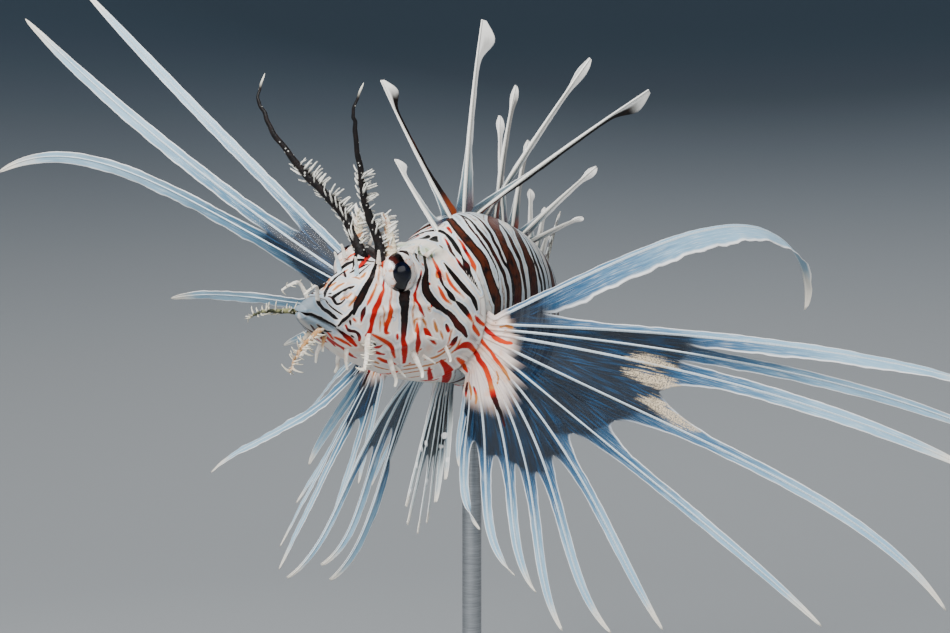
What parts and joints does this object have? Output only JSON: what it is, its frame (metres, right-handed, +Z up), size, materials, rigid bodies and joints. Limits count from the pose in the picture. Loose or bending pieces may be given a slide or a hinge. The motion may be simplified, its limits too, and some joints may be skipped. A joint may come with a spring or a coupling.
{
  "type": "red lionfish display model",
  "caption": "Still, life-size lionfish with spread ray fins, spines and head tentacles, hovering on a rod over a round base.",
  "frame": {"origin": "centre of the underside of the stand's base", "axes": "+Z up, the fish heads towards -X with its left side towards -Y, banked a little to its left"},
  "size_m": [0.1731, 0.2512, 0.2412],
  "materials": {
    "skin": "satin, cream with dark red and brown bars",
    "eye": "wet gloss, black pupil with a barred iris",
    "fin": "thin, slightly clear web with pale rays",
    "tentacle": "satin, dark brown with pale tips",
    "stand": "matte black",
    "steel": "brushed"
  },
  "bodies": {
    "root": {"head": "skin", "lower_jaw": "skin", "gill_cover_left": "skin", "gill_cover_right": "skin", "torso": "skin", "tail_stalk": "skin", "eye_left": "eye", "eye_right": "eye", "pectoral_fin_left_upper": "fin", "pectoral_fin_left_lower": "fin", "pectoral_fin_right_upper": "fin", "pectoral_fin_right_lower": "fin", "dorsal_fin_spiny": "fin", "dorsal_fin_soft": "fin", "anal_fin": "fin", "caudal_fin": "fin", "pelvic_fin_left": "fin", "pelvic_fin_right": "fin", "brow_tentacle_left": "tentacle", "brow_tentacle_right": "tentacle", "snout_tentacle_left": "tentacle", "snout_tentacle_right": "tentacle", "stand_base": "stand", "stand_collar": "steel", "stand_rod": "steel"}
  },
  "joints": []
}
